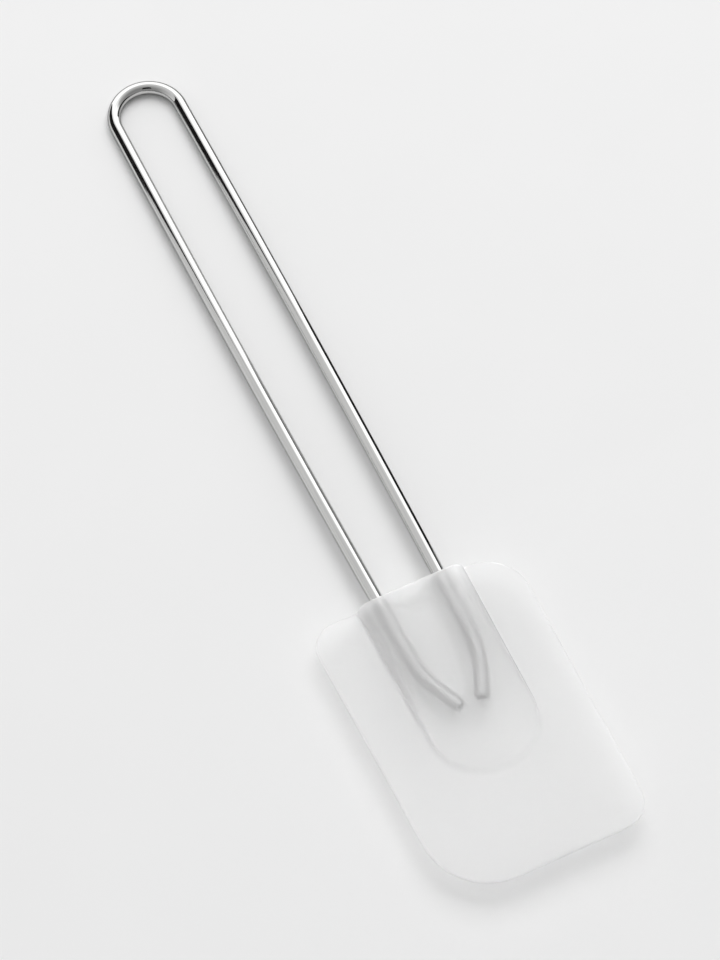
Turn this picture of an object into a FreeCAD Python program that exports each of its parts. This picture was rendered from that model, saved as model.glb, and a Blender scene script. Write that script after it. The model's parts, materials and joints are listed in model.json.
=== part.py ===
"""Bowl scraper: a translucent silicone head moulded over a stainless wire handle.

Frame: +Y towards the hanging loop, +X to the right seen with the loop up, +Z up.
Origin: centre of the footprint, on the surface that the scraper lies on.

Both pieces are drawn flat first: mid-plane at z = 0, rear edge of the head at y = 0,
blade towards -Y and handle towards +Y. Then they are laid down together, so that the
hanging loop and the underside of the head's sleeve rest on z = 0.
All lengths are in millimetres, all angles in degrees.
"""
import FreeCAD
import Part
import math
import os

# Whole object
OVERALL_LENGTH = 260.0

# Wire handle
WIRE_DIAMETER = 3.6
LEG_OFFSET_HEAD = 8.95  # centreline to the object's middle, where the legs leave the head
LEG_OFFSET_MID = 9.65  # the same, half way up, where the legs bow out a little
LEG_OFFSET_LOOP = 9.45  # the same, where the hanging loop starts
ANCHOR_STRAIGHT = 19.2  # straight wire inside the head
ANCHOR_BEND_RADIUS = 22.0
ANCHOR_TURN = 23.5  # how far the wire ends bend inwards
ANCHOR_DEPTH = 36.2  # from the head's rear edge to the wire ends

# Blade
BLADE_LENGTH = 85.6
BLADE_WIDTH_REAR = 58.8
BLADE_WIDTH_TIP = 57.0
BLADE_OFFSET = -0.6  # from the middle of the handle to the middle of the blade
BLADE_THICKNESS_REAR = 2.4
BLADE_THICKNESS_TIP = 1.2
REAR_LEFT_CORNER = 7.4
REAR_RIGHT_CORNER = 12.3
TIP_LEFT_CORNER = 18.4
TIP_RIGHT_CORNER = 8.0

# Tongue: the thick middle of the head, which is the sleeve round the wire ends
TONGUE_WIDTH = 30.6
TONGUE_LENGTH = 56.8
TONGUE_REAR_CORNER = 1.5
TONGUE_END_CORNER = 14.5
TONGUE_THICKNESS_REAR = 10.2
TONGUE_THICKNESS_END = 2.8
SLEEVE_LENGTH = 10.0  # rear stretch of full thickness, before the head thins out
PRESS_DEPTH = 0.12  # the soft sleeve is pressed flat by this much where it rests
FLANK_RADIUS = 4.4  # the flanks are rounds of this radius, cut as two flats each

# Derived values
WIRE_RADIUS = WIRE_DIAMETER / 2
HANDLE_LENGTH = OVERALL_LENGTH - BLADE_LENGTH  # rear edge of the head to the loop's top
SLEEVE_HALF = TONGUE_THICKNESS_REAR / 2
LOOP_FIT_STEPS = 10


def vec(x, y, z=0.0):
    return FreeCAD.Vector(x, y, z)


def line(start, end):
    return Part.LineSegment(start, end).toShape()


def arc(start, middle, end):
    return Part.Arc(start, middle, end).toShape()


def arc_centre(start, middle, end):
    return arc(start, middle, end).Curve.Center


def heading(angle_deg):
    """Unit vector in the XY plane, turned from +Y towards +X."""
    angle = math.radians(angle_deg)
    return vec(math.sin(angle), math.cos(angle))


def rounded_outline(corners):
    """Closed wire through (x, y, radius) corners, listed counter-clockwise."""
    points = [vec(x, y) for x, y, _ in corners]
    arcs = []
    for index, (_, _, radius) in enumerate(corners):
        corner = points[index]
        back = (points[index - 1] - corner).normalize()
        ahead = (points[(index + 1) % len(points)] - corner).normalize()
        half_angle = back.getAngle(ahead) / 2
        reach = radius / math.tan(half_angle)
        to_centre = (back + ahead).normalize()
        middle = corner + to_centre * (radius / math.sin(half_angle) - radius)
        arcs.append((corner + back * reach, middle, corner + ahead * reach))
    edges = []
    for index, (start, middle, end) in enumerate(arcs):
        edges.append(line(arcs[index - 1][2], start))
        edges.append(arc(start, middle, end))
    return Part.Wire(edges)


def slab(outline, height):
    """Solid of a flat outline, spread evenly about z = 0."""
    solid = Part.Face(outline).extrude(vec(0, 0, height))
    solid.translate(vec(0, 0, -height / 2))
    return solid


def taper(length, width, thickness_rear, thickness_end):
    """Block from y = 0 to y = -length: level along the sleeve, then thinning evenly."""
    half_width = width / 2
    rear = thickness_rear / 2
    end = thickness_end / 2
    upper = [(0, rear), (-SLEEVE_LENGTH, rear), (-length, end)]
    lower = [(y, -z) for y, z in reversed(upper)]
    points = [vec(-half_width, y, z) for y, z in upper + lower]
    profile = Part.makePolygon(points + points[:1])
    return Part.Face(profile).extrude(vec(width, 0, 0))


def loop_geometry():
    """Where a leg meets the hanging loop: the joint, the loop's centre and its radius.

    The legs are long arcs that lean in a little at the loop, and the loop is tangent to
    them, so it is found by moving the joint along the handle until the length is right.
    """
    joint_y = HANDLE_LENGTH - WIRE_RADIUS - LEG_OFFSET_LOOP
    for _ in range(LOOP_FIT_STEPS):
        joint = vec(LEG_OFFSET_LOOP, joint_y)
        middle = vec(LEG_OFFSET_MID, joint_y / 2)
        leg_centre = arc_centre(vec(LEG_OFFSET_HEAD, 0), middle, joint)
        inward = (leg_centre - joint).normalize()
        radius = LEG_OFFSET_LOOP / -inward.x
        centre = joint + inward * radius
        joint_y += HANDLE_LENGTH - WIRE_RADIUS - (centre.y + radius)
    return joint, middle, centre, radius


def anchor_edges():
    """Right-hand wire end inside the head, from its tip to the head's rear edge."""
    joint, middle, _, _ = loop_geometry()
    start = vec(LEG_OFFSET_HEAD, 0)
    leg_centre = arc_centre(start, middle, joint)
    outward = (start - leg_centre).normalize()
    lean = math.degrees(math.atan2(-outward.y, outward.x))
    bend_start = start - heading(lean) * ANCHOR_STRAIGHT
    bend_centre = bend_start + heading(lean - 90) * ANCHOR_BEND_RADIUS
    bend_middle = bend_centre + heading(lean + ANCHOR_TURN / 2 + 90) * ANCHOR_BEND_RADIUS
    bend_end = bend_centre + heading(lean + ANCHOR_TURN + 90) * ANCHOR_BEND_RADIUS
    last = heading(lean + ANCHOR_TURN)
    tip = bend_end - last * ((ANCHOR_DEPTH + bend_end.y) / last.y)
    return [
        line(tip, bend_end),
        arc(bend_end, bend_middle, bend_start),
        line(bend_start, start),
    ]


def mirrored(edges):
    """The same edges on the left-hand side, in reverse order."""
    return [edge.mirror(vec(0, 0), vec(1, 0)) for edge in reversed(edges)]


def wire_handle():
    """Round wire: anchor, leg, hanging loop, leg, anchor."""
    joint, middle, loop_centre, loop_radius = loop_geometry()
    right = anchor_edges() + [arc(vec(LEG_OFFSET_HEAD, 0), middle, joint)]
    left_joint = vec(-joint.x, joint.y)
    loop_top = loop_centre + vec(0, loop_radius)
    path = Part.Wire(right + [arc(joint, loop_top, left_joint)] + mirrored(right))
    tip = right[0].Vertexes[0].Point
    along = right[0].Vertexes[-1].Point - tip
    section = Part.Wire(Part.Circle(tip, along, WIRE_RADIUS).toShape())
    return path.makePipeShell([section], True, False)


def blade():
    """Thin plate with four differently rounded corners, thinner towards its tip."""
    rear = BLADE_WIDTH_REAR / 2
    tip = BLADE_WIDTH_TIP / 2
    outline = rounded_outline(
        [
            (rear, 0, REAR_RIGHT_CORNER),
            (-rear, 0, REAR_LEFT_CORNER),
            (-tip, -BLADE_LENGTH, TIP_LEFT_CORNER),
            (tip, -BLADE_LENGTH, TIP_RIGHT_CORNER),
        ]
    )
    plate = slab(outline, BLADE_THICKNESS_REAR)
    plate.translate(vec(BLADE_OFFSET, 0))
    wedge = taper(BLADE_LENGTH, BLADE_WIDTH_REAR, BLADE_THICKNESS_REAR, BLADE_THICKNESS_TIP)
    wedge.translate(vec(BLADE_OFFSET, 0))
    return plate.common(wedge)


def tongue_section():
    """Cross-section of the sleeve: flat above and below, with flats round its flanks."""
    half = TONGUE_WIDTH / 2
    flat = half - FLANK_RADIUS
    step = FLANK_RADIUS * math.sqrt(0.5)
    quarter = [
        (half, SLEEVE_HALF - FLANK_RADIUS),
        (flat + step, SLEEVE_HALF - FLANK_RADIUS + step),
        (flat, SLEEVE_HALF),
    ]
    upper = quarter + [(-x, z) for x, z in reversed(quarter)]
    lower = [(-x, -z) for x, z in upper]
    points = [vec(x, z) for x, z in upper + lower]
    return Part.makePolygon(points + points[:1])


def tongue():
    """Sleeve with bevelled flanks, which thins out to a half-round end on the blade."""
    half = TONGUE_WIDTH / 2
    plan = rounded_outline(
        [
            (half, 0, TONGUE_REAR_CORNER),
            (-half, 0, TONGUE_REAR_CORNER),
            (-half, -TONGUE_LENGTH, TONGUE_END_CORNER),
            (half, -TONGUE_LENGTH, TONGUE_END_CORNER),
        ]
    )
    bar = Part.Face(tongue_section()).extrude(vec(0, 0, TONGUE_LENGTH))
    bar.rotate(vec(0, 0, 0), vec(1, 0, 0), 90)
    wedge = taper(TONGUE_LENGTH, TONGUE_WIDTH, TONGUE_THICKNESS_REAR, TONGUE_THICKNESS_END)
    return bar.common(wedge).common(slab(plan, TONGUE_THICKNESS_REAR))


def silicone_head(handle):
    """Blade and tongue in one piece, moulded over the ends of the handle."""
    head = blade().fuse(tongue()).removeSplitter()
    return head.cut(handle)


def lying_placement():
    """Turns the flat model about X, so that the loop and the pressed sleeve touch z = 0.

    It also brings the middle of the blade to x = 0.
    """
    reach = HANDLE_LENGTH - WIRE_RADIUS
    depth = SLEEVE_HALF - PRESS_DEPTH
    to_loop = math.atan2(depth, reach)
    to_tangent = math.asin(WIRE_RADIUS / math.hypot(depth, reach))
    lean = to_loop - to_tangent
    turn = FreeCAD.Rotation(vec(1, 0, 0), -math.degrees(lean))
    edge = turn.multVec(vec(0, 0, -depth))
    front = turn.multVec(vec(0, -BLADE_LENGTH, -BLADE_THICKNESS_TIP / 2)).y
    back = turn.multVec(vec(0, reach)).y + WIRE_RADIUS
    return FreeCAD.Placement(vec(-BLADE_OFFSET, -(front + back) / 2, -edge.z), turn)


def laid_down(shape):
    return shape.transformed(lying_placement().toMatrix())


def pressed_flat(head):
    """The head without the sliver that its weight presses flat on the surface."""
    below = Part.makeBox(OVERALL_LENGTH, OVERALL_LENGTH, TONGUE_THICKNESS_REAR)
    below.translate(vec(-OVERALL_LENGTH / 2, -OVERALL_LENGTH / 2, -TONGUE_THICKNESS_REAR))
    return head.cut(below)


def write(shape, name):
    solid = shape.Solids[0]
    solid.exportStep(os.path.join("parts", name + ".step"))
    box = solid.optimalBoundingBox()
    print(name, "valid", solid.isValid(), "solids", len(shape.Solids))
    print("  volume", round(solid.Volume, 1), "z", round(box.ZMin, 2), round(box.ZMax, 2))
    print("  y", round(box.YMin, 2), round(box.YMax, 2))


def main():
    os.makedirs("parts", exist_ok=True)
    handle = wire_handle()
    write(pressed_flat(laid_down(silicone_head(handle))), "silicone_head")
    write(laid_down(handle), "wire_handle")


main()
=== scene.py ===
"""Looks of the silicone bowl scraper: its head, its polished wire, the studio and the camera.

Everything is in metres. The two pieces are worked out flat, in the scraper's own plane, with the
rear edge of the head at y = 0 and the handle towards +Y, and then laid down onto the CAD frame.
"""
import json
import math

import bpy
import numpy as np
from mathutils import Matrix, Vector


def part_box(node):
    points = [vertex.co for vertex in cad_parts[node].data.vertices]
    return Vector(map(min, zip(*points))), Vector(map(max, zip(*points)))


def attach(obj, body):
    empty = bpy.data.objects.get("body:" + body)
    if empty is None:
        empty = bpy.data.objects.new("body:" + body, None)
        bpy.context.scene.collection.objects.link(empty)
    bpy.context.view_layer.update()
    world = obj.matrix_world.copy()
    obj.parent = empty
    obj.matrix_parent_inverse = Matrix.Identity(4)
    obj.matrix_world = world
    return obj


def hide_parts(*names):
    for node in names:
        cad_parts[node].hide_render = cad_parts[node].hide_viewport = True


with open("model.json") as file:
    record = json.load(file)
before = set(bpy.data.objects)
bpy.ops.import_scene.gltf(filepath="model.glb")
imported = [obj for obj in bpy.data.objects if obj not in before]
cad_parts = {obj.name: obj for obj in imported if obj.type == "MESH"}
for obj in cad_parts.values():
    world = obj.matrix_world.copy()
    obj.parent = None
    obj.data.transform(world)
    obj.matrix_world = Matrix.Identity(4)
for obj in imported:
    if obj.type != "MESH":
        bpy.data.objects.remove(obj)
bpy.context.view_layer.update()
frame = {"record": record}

MM = 0.001

# Sizes of the wire
WIRE_RADIUS = 1.8 * MM
LEG_OFFSET_HEAD = 8.95 * MM  # middle of the handle to a leg's centreline, where it leaves the head
LEG_OFFSET_MID = 9.65 * MM  # the same, half way up
LEG_OFFSET_LOOP = 9.45 * MM  # the same, where the hanging loop starts
ANCHOR_STRAIGHT = 19.2 * MM  # a leg runs this far into the head before it bends inwards
ANCHOR_BEND_RADIUS = 22 * MM
ANCHOR_TURN = math.radians(23.5)
ANCHOR_DEPTH = 36.2 * MM  # rear edge of the head to the wire's end
END_BEVEL = 0.15 * MM  # the cut wire ends are deburred by this much
KEYED_AND_SHADED_LENGTH = 36.5 * MM  # the wire is dull, and painted darker as shade, for this far from each end, where the silicone grips it
KEYED_AND_SHADED_FADE = 1 * MM  # the dullness and the painted shade fade over this much to each side of that place

# Steps of the wire's mesh
WIRE_RING = 40  # points round the wire
ANCHOR_END_STEPS = 10
ANCHOR_STEPS = 14  # in the anchor's bend, and again in its straight run
LEG_STEPS = 90
HALF_LOOP_STEPS = 30

# Sizes of the blade
BLADE_LENGTH = 85.6 * MM
BLADE_HALF_WIDTH = 29.4 * MM  # at the rear
BLADE_OFFSET = -0.6 * MM  # from the middle of the handle to the middle of the blade
BLADE_TIP_NARROWER = 0.9 * MM  # the tip's half width is this much less
REAR_LEFT_CORNER = 7.4 * MM
REAR_RIGHT_CORNER = 12.3 * MM
TIP_LEFT_CORNER = 18.4 * MM
TIP_RIGHT_CORNER = 8.0 * MM
BLADE_HALF_REAR = 1.2 * MM  # half thickness of the blade's middle at the rear
BLADE_HALF_TIP = 0.6 * MM  # the same at the tip
EDGE_THINNING = 0.3  # the blade is thinner along its edges, by this share of its thickness
EDGE_ZONE = 9 * MM  # over this width
RIM_ROUND = 0.7 * MM  # rims are rounded, up to this radius
RIM_SHARE = 0.97  # or up to this share of the height, where the head is thin

# Sizes of the tongue, whose rear end is the sleeve round the wire
SLEEVE_HALF = 5.1 * MM  # half thickness
SLEEVE_LENGTH = 10 * MM  # the head keeps its full thickness for this far from the rear
TONGUE_HALF_WIDTH = 15.3 * MM
TONGUE_HALF_NARROW = 14.8 * MM  # at the half-round end
TONGUE_LENGTH = 56.8 * MM
TONGUE_HALF_END = 1.15 * MM  # half thickness at its end, to which the blend with the blade adds
FLANK_RADIUS = 4.4 * MM  # round between the tongue's flanks and its top
CREST_BLEND = 0.5 * MM  # a flank's round runs into the tongue's top over this much
FOOT_BLEND = 1.3 * MM  # the tongue runs into the blade over this much at the rear
FOOT_BLEND_MORE = 0.3 * MM  # and over this much more at the tongue's end

# The CAD frame: how the flat scraper lies
hook = next(m for m in frame["record"]["mounts"] if m["name"] == "hanging_loop")
lean = math.asin(hook["axis"][1])
ALONG = Vector((0, math.cos(lean), -math.sin(lean)))
UPWARD = Vector((0, math.sin(lean), math.cos(lean)))
loop_centre = Vector(hook["pos_m"])
head_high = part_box("silicone_head")[1]
rear_y = head_high.y - SLEEVE_HALF * UPWARD.y
to_rear = (rear_y - loop_centre.y) / ALONG.y
REAR_CENTRE = loop_centre + ALONG * to_rear
HANDLE_REACH = -to_rear + LEG_OFFSET_LOOP  # rear edge of the head to the loop's centreline


def laid(x, y, z):
    """A point of the flat scraper, where it lies."""
    return REAR_CENTRE + Vector((x, 0, 0)) + ALONG * y + UPWARD * z


def new_object(name, vertices, faces, smooth=True):
    mesh = bpy.data.meshes.new(name)
    mesh.from_pydata([tuple(v) for v in vertices], [], faces)
    mesh.update()
    if smooth:
        mesh.shade_smooth()
    thing = bpy.data.objects.new(name, mesh)
    bpy.context.scene.collection.objects.link(thing)
    return thing


# ---------------------------------------------------------------- wire

def circle_centre(a, b, c):
    """Centre of the circle through three points of the plane."""
    (ax, ay), (bx, by), (cx, cy) = a, b, c
    d = 2 * (ax * (by - cy) + bx * (cy - ay) + cx * (ay - by))
    sa, sb, sc = ax * ax + ay * ay, bx * bx + by * by, cx * cx + cy * cy
    x = (sa * (by - cy) + sb * (cy - ay) + sc * (ay - by)) / d
    y = (sa * (cx - bx) + sb * (ax - cx) + sc * (bx - ax)) / d
    return x, y


def arc_points(centre, start, end, count):
    """Points from start to end round centre, the short way, without the first."""
    angle0 = math.atan2(start[1] - centre[1], start[0] - centre[0])
    angle1 = math.atan2(end[1] - centre[1], end[0] - centre[0])
    turn = (angle1 - angle0 + math.pi) % (2 * math.pi) - math.pi
    radius = math.hypot(start[0] - centre[0], start[1] - centre[1])
    points = []
    for k in range(1, count + 1):
        angle = angle0 + turn * k / count
        points.append((centre[0] + radius * math.cos(angle), centre[1] + radius * math.sin(angle)))
    return points


def line_points(start, end, count):
    """Points from start to end, without the first."""
    return [
        (start[0] + (end[0] - start[0]) * k / count, start[1] + (end[1] - start[1]) * k / count)
        for k in range(1, count + 1)
    ]


def wire_path():
    """Centreline of the hairpin, from the right anchor's end round to the left one's."""
    root = (LEG_OFFSET_HEAD, 0.0)
    joint = (LEG_OFFSET_LOOP, HANDLE_REACH - LEG_OFFSET_LOOP)
    middle = (LEG_OFFSET_MID, joint[1] / 2)
    leg_centre = circle_centre(root, middle, joint)
    leg_radius = math.hypot(root[0] - leg_centre[0], root[1] - leg_centre[1])
    lean_out = math.asin((leg_centre[1] - root[1]) / leg_radius)
    bend_start = (
        root[0] - ANCHOR_STRAIGHT * math.sin(lean_out),
        -ANCHOR_STRAIGHT * math.cos(lean_out),
    )
    bend_centre = (
        bend_start[0] - ANCHOR_BEND_RADIUS * math.cos(lean_out),
        bend_start[1] + ANCHOR_BEND_RADIUS * math.sin(lean_out),
    )
    slant = lean_out + ANCHOR_TURN
    bend_end = (
        bend_centre[0] + ANCHOR_BEND_RADIUS * math.cos(slant),
        bend_centre[1] - ANCHOR_BEND_RADIUS * math.sin(slant),
    )
    rest = (ANCHOR_DEPTH + bend_end[1]) / math.cos(slant)
    tip = (bend_end[0] - rest * math.sin(slant), bend_end[1] - rest * math.cos(slant))
    half = [tip]
    half += line_points(tip, bend_end, ANCHOR_END_STEPS)
    half += arc_points(bend_centre, bend_end, bend_start, ANCHOR_STEPS)
    half += line_points(bend_start, root, ANCHOR_STEPS)
    half += arc_points(leg_centre, root, joint, LEG_STEPS)
    half += arc_points((0.0, joint[1]), joint, (0.0, HANDLE_REACH), HALF_LOOP_STEPS)
    return half + [(-x, y) for x, y in reversed(half[:-1])]


def wire_stations():
    """Places along the wire with direction and radius, the bevels of the cut ends included."""
    path = [Vector((x, y, 0)) for x, y in wire_path()]
    stations = []
    for k, point in enumerate(path):
        before = path[max(k - 1, 0)]
        after = path[min(k + 1, len(path) - 1)]
        stations.append((point, (after - before).normalized(), WIRE_RADIUS))
    (start, ahead, _), (end, onward, _) = stations[0], stations[-1]
    stations[0] = (start + ahead * END_BEVEL, ahead, WIRE_RADIUS)
    stations[-1] = (end - onward * END_BEVEL, onward, WIRE_RADIUS)
    end_radius = WIRE_RADIUS - END_BEVEL
    return [(start, ahead, end_radius)] + stations + [(end, onward, end_radius)]


def wire_handle():
    """Round wire swept along its path, with flat cut ends.

    The mesh carries the straight wire's own coordinates, so that the drawing marks follow it. The
    first one is the distance to the wire's nearer end.
    """
    stations = wire_stations()
    vertices, coordinates = [], []
    length = 0.0
    for k, (point, tangent, radius) in enumerate(stations):
        if k:
            length += (point - stations[k - 1][0]).length
        side = tangent.cross(Vector((0, 0, 1)))
        for n in range(WIRE_RING):
            angle = 2 * math.pi * n / WIRE_RING
            flat = point + side * (radius * math.cos(angle))
            vertices.append(laid(flat.x, flat.y, radius * math.sin(angle)))
            coordinates.append([length, radius * math.cos(angle), radius * math.sin(angle)])
    for place in coordinates:
        place[0] = min(place[0], length - place[0])
    faces = []
    for k in range(len(stations) - 1):
        for n in range(WIRE_RING):
            a, b = k * WIRE_RING + n, k * WIRE_RING + (n + 1) % WIRE_RING
            faces.append((a, a + WIRE_RING, b + WIRE_RING, b))
    last_ring = (len(stations) - 1) * WIRE_RING
    faces.append(tuple(range(WIRE_RING)))
    faces.append(tuple(last_ring + n for n in reversed(range(WIRE_RING))))
    wire = new_object("polished_wire", vertices, faces)
    attribute = wire.data.attributes.new("wire_coordinate", "FLOAT_VECTOR", "POINT")
    attribute.data.foreach_set("vector", [c for place in coordinates for c in place])
    for face in list(wire.data.polygons)[-2:]:
        face.use_smooth = False
    return wire


# ---------------------------------------------------------------- silicone head

BLADE_CORNERS = {
    (-1, "rear"): REAR_LEFT_CORNER,
    (1, "rear"): REAR_RIGHT_CORNER,
    (-1, "tip"): TIP_LEFT_CORNER,
    (1, "tip"): TIP_RIGHT_CORNER,
}


def smooth_step(t):
    t = np.clip(t, 0, 1)
    return t * t * (3 - 2 * t)


def smooth_min(a, b, k):
    """The lower of two surfaces, blended over about k where they cross."""
    t = np.clip(0.5 + 0.5 * (b - a) / k, 0, 1)
    return b + (a - b) * t - k * t * (1 - t)


def smooth_max(a, b, k):
    return -smooth_min(-a, -b, k)


def narrowing(y):
    """The blade's width at y, as a share of its width at the rear."""
    return 1 + BLADE_TIP_NARROWER / BLADE_HALF_WIDTH * y / BLADE_LENGTH


def half_width_at(side, y):
    """The blade outline's distance from the handle's middle on one side, at y."""
    for end, gap in (("rear", -y), ("tip", BLADE_LENGTH + y)):
        radius = BLADE_CORNERS[side, end]
        if gap < radius:
            rise = math.sqrt(max(radius**2 - (radius - gap) ** 2, 0))
            return (BLADE_HALF_WIDTH - radius + rise) * narrowing(y) + side * BLADE_OFFSET
    return BLADE_HALF_WIDTH * narrowing(y) + side * BLADE_OFFSET


def inside_by(x, y):
    """How far points lie inside the blade's outline."""
    x = (x - BLADE_OFFSET) / narrowing(y)
    gap = np.minimum(np.minimum(BLADE_HALF_WIDTH - np.abs(x), -y), BLADE_LENGTH + y)
    for (side, end), radius in BLADE_CORNERS.items():
        centre_x = side * (BLADE_HALF_WIDTH - radius)
        centre_y = -radius if end == "rear" else radius - BLADE_LENGTH
        beyond = (side * (x - centre_x) > 0) & ((y > centre_y) == (end == "rear"))
        round_gap = radius - np.hypot(x - centre_x, y - centre_y)
        gap = np.where(beyond, round_gap, gap)
    return np.maximum(gap, 0)


def thinning(y, length, half_rear, half_end):
    """Half thickness that stays level along the sleeve and then falls evenly."""
    t = np.clip((-y - SLEEVE_LENGTH) / (length - SLEEVE_LENGTH), 0, 1)
    return half_rear + (half_end - half_rear) * t


def tongue_half_width(y):
    t = np.clip(y / (TONGUE_HALF_NARROW - TONGUE_LENGTH), 0, 1)
    return TONGUE_HALF_WIDTH + (TONGUE_HALF_NARROW - TONGUE_HALF_WIDTH) * t


def blade_height(y, gap):
    """Height of the blade's surface at y, this far inside its outline."""
    height = thinning(y, BLADE_LENGTH, BLADE_HALF_REAR, BLADE_HALF_TIP)
    return height * (1 - EDGE_THINNING * (1 - smooth_step(gap / EDGE_ZONE)))


def tongue_height(x, y):
    """Height of the tongue's top and round flanks. Beyond them it falls on, below the blade."""
    end_centre = TONGUE_HALF_NARROW - TONGUE_LENGTH
    past_end = np.minimum(y - end_centre, 0)
    side_gap = tongue_half_width(y) - np.hypot(x, past_end)
    lower = SLEEVE_HALF - FLANK_RADIUS
    into_flank = np.clip(FLANK_RADIUS - side_gap, 0, FLANK_RADIUS)
    flank = lower + np.sqrt(FLANK_RADIUS**2 - into_flank**2)
    flank = np.where(side_gap < 0, lower + side_gap, flank)
    top = thinning(y, TONGUE_LENGTH, SLEEVE_HALF, TONGUE_HALF_END)
    return smooth_min(flank, top, CREST_BLEND)


def half_thickness(x, y):
    """Height of the head's surface above its middle plane."""
    gap = inside_by(x, y)
    blend = FOOT_BLEND + FOOT_BLEND_MORE * smooth_step(-y / TONGUE_LENGTH)
    height = smooth_max(tongue_height(x, y), blade_height(y, gap), blend)
    rim = np.minimum(RIM_ROUND, RIM_SHARE * height)
    into_rim = np.clip(rim - gap, 0, rim)
    return height - rim + np.sqrt(rim**2 - into_rim**2)


def head_rows():
    """Places along the head, close together where its corners turn."""
    rear, tip = REAR_RIGHT_CORNER, TIP_LEFT_CORNER
    rear_steps, tip_steps, middle_steps = 22, 26, 90
    rows = [-rear * (1 - math.cos(math.pi / 2 * k / rear_steps)) for k in range(rear_steps)]
    start, end = -rear, tip - BLADE_LENGTH
    rows += [start + (end - start) * k / middle_steps for k in range(middle_steps)]
    for k in reversed(range(tip_steps + 1)):
        rows.append(tip * (1 - math.cos(math.pi / 2 * k / tip_steps)) - BLADE_LENGTH)
    return rows


def blade_columns(rim, inner):
    """Places from the blade's rim to an inner place, crowded towards the rim."""
    steps, crowding = 14, 2.2
    return [rim + (inner - rim) * (k / steps) ** crowding for k in range(steps)]


def head_columns(y):
    """Places across the head at y, from right to left: blade, flank, top, flank, blade."""
    foot_steps, flank_steps, half_top_steps = 4, 12, 11
    foot_margin, least_blade = 0.9 * MM, 0.6 * MM
    foot = float(tongue_half_width(y))
    inner = foot + foot_margin
    top = foot - FLANK_RADIUS
    right_rim = half_width_at(1, y)
    left_rim = half_width_at(-1, y)
    right_inner = min(inner, right_rim - least_blade)
    left_inner = min(inner, left_rim - least_blade)
    half = [inner + (foot - inner) * k / foot_steps for k in range(foot_steps)]
    for k in range(flank_steps):
        half.append(top + FLANK_RADIUS * math.cos(math.pi / 2 * k / flank_steps))
    half += [top * (1 - k / half_top_steps) for k in range(half_top_steps)]
    right = [x * right_inner / inner for x in half]
    left = [-x * left_inner / inner for x in reversed(half)]
    left_blade = [-x for x in reversed(blade_columns(left_rim, left_inner))]
    return blade_columns(right_rim, right_inner) + right + [0.0] + left + left_blade


def rim_of(row_count, column_count):
    """Indices of a grid's outer points, once round it."""
    last_row = (row_count - 1) * column_count
    rim = list(range(column_count))
    rim += [r * column_count + column_count - 1 for r in range(1, row_count)]
    rim += [last_row + c for c in reversed(range(column_count - 1))]
    rim += [r * column_count for r in reversed(range(1, row_count - 1))]
    return rim


def silicone_head():
    """Closed skin of the blade and tongue, alike above and below its middle plane."""
    rows = head_rows()
    grid_x = np.array([head_columns(y) for y in rows])
    grid_y = np.array(rows)[:, None] + np.zeros_like(grid_x)
    height = half_thickness(grid_x, grid_y)
    row_count, column_count = grid_x.shape
    vertices, faces = [], []
    for sign in (1, -1):
        for r in range(row_count):
            for c in range(column_count):
                vertices.append(laid(grid_x[r, c], grid_y[r, c], sign * height[r, c]))
    under = row_count * column_count
    for r in range(row_count - 1):
        for c in range(column_count - 1):
            a = r * column_count + c
            b, d, e = a + 1, a + column_count, a + column_count + 1
            faces.append((a, b, e, d))
            faces.append((under + a, under + d, under + e, under + b))
    rim = rim_of(row_count, column_count)
    for k, a in enumerate(rim):
        b = rim[(k + 1) % len(rim)]
        faces.append((b, a, under + a, under + b))
    return new_object("moulded_head", vertices, faces)


# ---------------------------------------------------------------- materials

def new_material(name):
    material = bpy.data.materials.new(name)
    material.use_nodes = True
    nodes = material.node_tree.nodes
    return material, nodes, material.node_tree.links, nodes["Principled BSDF"]


def add_noise(nodes, links, place, scale, detail):
    noise = nodes.new("ShaderNodeTexNoise")
    noise.inputs["Scale"].default_value = scale
    noise.inputs["Detail"].default_value = detail
    links.new(place, noise.inputs["Vector"])
    return noise.outputs["Fac"]


def add_range(nodes, links, value, low, high):
    """Turns a value from 0 to 1 into one from low to high."""
    spread = nodes.new("ShaderNodeMapRange")
    spread.inputs["To Min"].default_value = low
    spread.inputs["To Max"].default_value = high
    links.new(value, spread.inputs["Value"])
    return spread.outputs["Result"]


def add_bump(nodes, links, shader, height, strength, distance):
    bump = nodes.new("ShaderNodeBump")
    bump.inputs["Strength"].default_value = strength
    bump.inputs["Distance"].default_value = distance
    links.new(height, bump.inputs["Height"])
    links.new(bump.outputs["Normal"], shader.inputs["Normal"])


def add_keyed_and_painted_shade(nodes, links, place):
    """1 where the silicone grips the wire, and 0 on the rest of it. There the wire is dull, and its
    colour is darkened as painted shade.
    """
    split = nodes.new("ShaderNodeSeparateXYZ")
    links.new(place, split.inputs["Vector"])
    keyed_and_painted_shade = nodes.new("ShaderNodeMapRange")
    keyed_and_painted_shade.inputs["From Min"].default_value = KEYED_AND_SHADED_LENGTH + KEYED_AND_SHADED_FADE
    keyed_and_painted_shade.inputs["From Max"].default_value = KEYED_AND_SHADED_LENGTH - KEYED_AND_SHADED_FADE
    links.new(split.outputs["X"], keyed_and_painted_shade.inputs["Value"])
    return keyed_and_painted_shade.outputs["Result"]


def add_streak_colour(nodes, links, drawing):
    """Colour of the bare steel, a little darker in the drawing marks."""
    shade = nodes.new("ShaderNodeValToRGB")
    dark, pale = shade.color_ramp.elements
    dark.position = 0.3
    dark.color = (0.56, 0.56, 0.555, 1)
    pale.position = 0.7
    pale.color = (0.7, 0.7, 0.69, 1)
    links.new(drawing, shade.inputs["Fac"])
    return shade.outputs["Color"]


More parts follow.
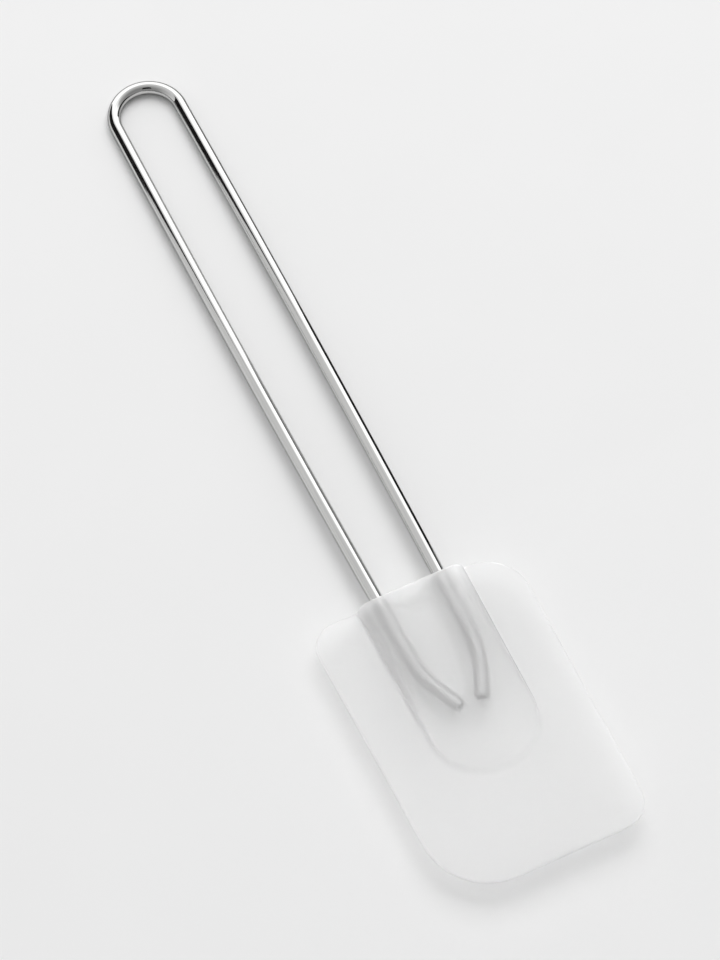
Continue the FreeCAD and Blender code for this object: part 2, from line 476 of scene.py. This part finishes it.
def polished_steel():
    """Drawn and polished wire: fine streaks along it, and dull where the silicone grips it, with
    painted shade darkening its colour there.
    """
    material, nodes, links, shader = new_material("polished_steel")
    along_wire = nodes.new("ShaderNodeAttribute")
    along_wire.attribute_name = "wire_coordinate"
    place = along_wire.outputs["Vector"]
    stretch = nodes.new("ShaderNodeMapping")
    stretch.inputs["Scale"].default_value = (30, 5000, 5000)
    links.new(place, stretch.inputs["Vector"])
    drawing = add_noise(nodes, links, stretch.outputs["Vector"], scale=1.0, detail=4)
    keyed_and_painted_shade = add_keyed_and_painted_shade(nodes, links, place)
    colour = nodes.new("ShaderNodeMix")
    colour.data_type = "RGBA"
    # painted shade: inside the head the wire's colour is darker, standing in for the shade it lies
    # in under the silicone
    colour.inputs["B"].default_value = (0.56, 0.56, 0.56, 1)
    links.new(keyed_and_painted_shade, colour.inputs["Factor"])
    links.new(add_streak_colour(nodes, links, drawing), colour.inputs["A"])
    links.new(colour.outputs["Result"], shader.inputs["Base Color"])
    roughness = nodes.new("ShaderNodeMix")
    roughness.inputs["B"].default_value = 0.6
    links.new(keyed_and_painted_shade, roughness.inputs["Factor"])
    links.new(add_range(nodes, links, drawing, low=0.03, high=0.1), roughness.inputs["A"])
    links.new(roughness.outputs["Result"], shader.inputs["Roughness"])
    add_bump(nodes, links, shader, drawing, strength=0.08, distance=0.02 * MM)
    shader.inputs["Metallic"].default_value = 1.0
    shader.inputs["Specular Tint"].default_value = (0.15, 0.15, 0.15, 1)
    return material


def frosted_silicone():
    """Milky see-through silicone with a fine matt grain, and hazier in soft patches."""
    material, nodes, links, shader = new_material("frosted_silicone")
    place = nodes.new("ShaderNodeTexCoord").outputs["Object"]
    haze = add_noise(nodes, links, place, scale=60, detail=3)
    frost = add_range(nodes, links, haze, low=0.62, high=0.76)
    links.new(frost, shader.inputs["Roughness"])
    grain = add_noise(nodes, links, place, scale=900, detail=2)
    add_bump(nodes, links, shader, grain, strength=0.1, distance=0.05 * MM)
    shader.inputs["Base Color"].default_value = (0.95, 0.95, 0.95, 1)
    shader.inputs["IOR"].default_value = 1.25
    shader.inputs["Transmission Weight"].default_value = 0.78
    body = nodes.new("ShaderNodeVolumeAbsorption")
    body.inputs["Color"].default_value = (0.5, 0.5, 0.5, 1)
    body.inputs["Density"].default_value = 4
    links.new(body.outputs["Volume"], nodes["Material Output"].inputs["Volume"])
    return material


def table_top():
    """Matt off-white table with a faint mottle."""
    material, nodes, links, shader = new_material("table_top")
    place = nodes.new("ShaderNodeTexCoord").outputs["Object"]
    mottle = add_noise(nodes, links, place, scale=25, detail=5)
    shade = add_range(nodes, links, mottle, low=0.885, high=0.905)
    links.new(shade, shader.inputs["Base Color"])
    shader.inputs["Roughness"].default_value = 0.8
    shader.inputs["Specular IOR Level"].default_value = 0.2
    return material


def flat_black():
    material, _, _, shader = new_material("flat_black")
    shader.inputs["Base Color"].default_value = (0.01, 0.01, 0.01, 1)
    shader.inputs["Roughness"].default_value = 1.0
    shader.inputs["Specular IOR Level"].default_value = 0.0
    return material


# ---------------------------------------------------------------- studio

HEADING = math.radians(25.79)  # the camera looks this far from the handle's direction
PITCH = math.radians(62.23)  # and this far down
TARGET = Vector((4.26, -6.84, 0)) * MM  # it looks at this point of the table
DISTANCE = 1.465  # from this far
LENS = 207.4  # in millimetres, as Blender takes it, and so is the sensor's width
SENSOR = 36.0
NEAREST_SEEN = 0.05

# How brightness grows from dim to bright towards a side. It starts and stops growing where the
# angle to that side has these two cosines.
TENT = {
    "side": (0.0, 1.0, 0.0),
    "cosines": (-0.5, 0.3),
    "dim": 0.3,
    "bright": 0.8,
    "growth": "LINEAR",
}
WINDOW = {
    "side": (0.6, 0.8, 0.0),
    "cosines": (0.36, 0.6),
    "dim": 0.0,
    "bright": 0.95,
    "growth": "SMOOTHSTEP",
}
DOME_RADIUS = 5.0


def studio(right, away, up):
    """A point of the studio: right and away as the camera stands, up from the table."""
    side = Vector((math.cos(HEADING), -math.sin(HEADING), 0))
    ahead = Vector((math.sin(HEADING), math.cos(HEADING), 0))
    return TARGET + side * right + ahead * away + Vector((0, 0, up))


def add_camera():
    data = bpy.data.cameras.new("camera")
    data.lens = LENS
    data.sensor_width = SENSOR
    data.clip_start = NEAREST_SEEN
    camera = bpy.data.objects.new("camera", data)
    camera.location = studio(0, -DISTANCE * math.cos(PITCH), DISTANCE * math.sin(PITCH))
    camera.rotation_euler = (math.pi / 2 - PITCH, 0, -HEADING)
    bpy.context.scene.collection.objects.link(camera)
    bpy.context.scene.camera = camera


def add_softbox(name, right, away, up, width, height, radiance):
    """Rectangular light tilted towards the table, as bright as given, not in watts.

    The camera and reflections don't see it.
    """
    place = studio(right, away, up)
    aim = studio(right, 0, 0)
    data = bpy.data.lights.new(name, "AREA")
    data.shape = "RECTANGLE"
    data.size = width
    data.size_y = height
    data.energy = radiance * math.pi * width * height
    light = bpy.data.objects.new(name, data)
    light.location = place
    light.rotation_euler = (aim - place).to_track_quat("-Z", "Y").to_euler()
    light.visible_camera = False
    light.visible_glossy = False
    bpy.context.scene.collection.objects.link(light)


def glow_towards(nodes, links, direction, glows):
    """Brightness that depends on the direction only, as the sum of one or two glows."""
    total = nodes.new("ShaderNodeMath")
    total.inputs[1].default_value = 0
    for k, glow in enumerate(glows):
        facing = nodes.new("ShaderNodeVectorMath")
        facing.operation = "DOT_PRODUCT"
        facing.inputs[1].default_value = glow["side"]
        links.new(direction, facing.inputs[0])
        strength = nodes.new("ShaderNodeMapRange")
        strength.interpolation_type = glow["growth"]
        strength.inputs["From Min"].default_value = glow["cosines"][0]
        strength.inputs["From Max"].default_value = glow["cosines"][1]
        strength.inputs["To Min"].default_value = glow["dim"]
        strength.inputs["To Max"].default_value = glow["bright"]
        links.new(facing.outputs["Value"], strength.inputs["Value"])
        links.new(strength.outputs["Result"], total.inputs[k])
    return total.outputs["Value"]


def add_tent():
    """White tent round the table: dim in front, lighter behind."""
    world = bpy.data.worlds.new("tent")
    world.use_nodes = True
    nodes, links = world.node_tree.nodes, world.node_tree.links
    place = nodes.new("ShaderNodeTexCoord")
    strength = glow_towards(nodes, links, place.outputs["Generated"], [TENT])
    links.new(strength, nodes["Background"].inputs["Strength"])
    nodes["Background"].inputs["Color"].default_value = (1, 1, 1, 1)
    bpy.context.scene.world = world


def only_reflected(card):
    """Only reflections see this card. It throws no shadow, and no light but in a reflection."""
    card.visible_camera = False
    card.visible_diffuse = False
    card.visible_transmission = False
    card.visible_shadow = False


def window_glow():
    """Glow of the tent and of its bright window side, as seen from the middle of the dome."""
    material = bpy.data.materials.new("window_glow")
    material.use_nodes = True
    nodes, links = material.node_tree.nodes, material.node_tree.links
    nodes.remove(nodes["Principled BSDF"])
    place = nodes.new("ShaderNodeTexCoord")
    direction = nodes.new("ShaderNodeVectorMath")
    direction.operation = "NORMALIZE"
    links.new(place.outputs["Object"], direction.inputs[0])
    emission = nodes.new("ShaderNodeEmission")
    strength = glow_towards(nodes, links, direction.outputs["Vector"], [TENT, WINDOW])
    links.new(strength, emission.inputs["Strength"])
    links.new(emission.outputs["Emission"], nodes["Material Output"].inputs["Surface"])
    return material


def add_window_dome():
    """The tent and its bright window side, as reflections see them, on a dome."""
    rings, slices = 16, 48
    vertices, faces = [], []
    for k in range(rings):
        rise = math.pi / 2 * k / rings
        level = DOME_RADIUS * math.cos(rise)
        height = DOME_RADIUS * math.sin(rise)
        for n in range(slices):
            turn = 2 * math.pi * n / slices
            vertices.append((level * math.cos(turn), level * math.sin(turn), height))
    for k in range(rings - 1):
        for n in range(slices):
            a, b = k * slices + n, k * slices + (n + 1) % slices
            faces.append((a, a + slices, b + slices, b))
    faces.append(tuple((rings - 1) * slices + n for n in range(slices)))
    dome = new_object("window_dome", vertices, faces)
    dome.data.materials.append(window_glow())
    only_reflected(dome)


def rectangle(low_a, high_a, low_b, high_b):
    """Corners of a rectangle, from how far it reaches in two directions."""
    return [(low_a, low_b), (high_a, low_b), (high_a, high_b), (low_a, high_b)]


def add_table():
    reach = 4.0
    corners = [(x, y, 0) for x, y in rectangle(-reach, reach, -reach, reach)]
    table = new_object("table", corners, [(0, 1, 2, 3)], smooth=False)
    table.data.materials.append(table_top())


def add_flag(name, corners):
    """Black card that only reflections see."""
    flag = new_object(name, corners, [tuple(range(len(corners)))], smooth=False)
    flag.data.materials.append(flat_black())
    only_reflected(flag)


def add_flags():
    """The black cards that give the wire its dark lines."""
    # A tall card to the left, past the loop, with a near edge that slants away as it rises
    left_x = -0.26
    near_edge = [(0.237, 0.02), (0.282, 0.25), (0.415, 0.6), (0.67, 1.15)]
    far_edge = [(1.0, 1.15), (1.0, 0.02)]
    add_flag("left_flag", [(left_x, y, z) for y, z in near_edge + far_edge])
    # A low card to the right
    right_x, near, far, height = 0.3, -0.3, 0.2, 0.12
    add_flag("right_flag", [(right_x, y, z) for y, z in rectangle(near, far, 0, height)])
    # A card that lies to the right of the handle, just above the table
    start, end, near, far, above_table = 0.018, 0.3, -0.03, 0.25, 0.5 * MM
    add_flag("floor_flag", [(x, y, above_table) for x, y in rectangle(start, end, near, far)])
    # A tall card behind the camera
    away, half_width, low, high = -0.8, 0.25, 0.7, 1.9
    upright = rectangle(-half_width, half_width, low, high)
    add_flag("camera_flag", [studio(right, away, up) for right, up in upright])


def add_studio():
    add_tent()
    add_window_dome()
    add_softbox("key_light", right=0.2, away=1.15, up=1.65, width=1.6, height=1.6, radiance=2.65)
    add_table()
    add_flags()
    bpy.context.scene.view_settings.view_transform = "Standard"


wire = wire_handle()
wire.data.materials.append(polished_steel())
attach(wire, "root")
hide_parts("wire_handle")

head = silicone_head()
head.data.materials.append(frosted_silicone())
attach(head, "root")
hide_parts("silicone_head")

add_camera()
add_studio()
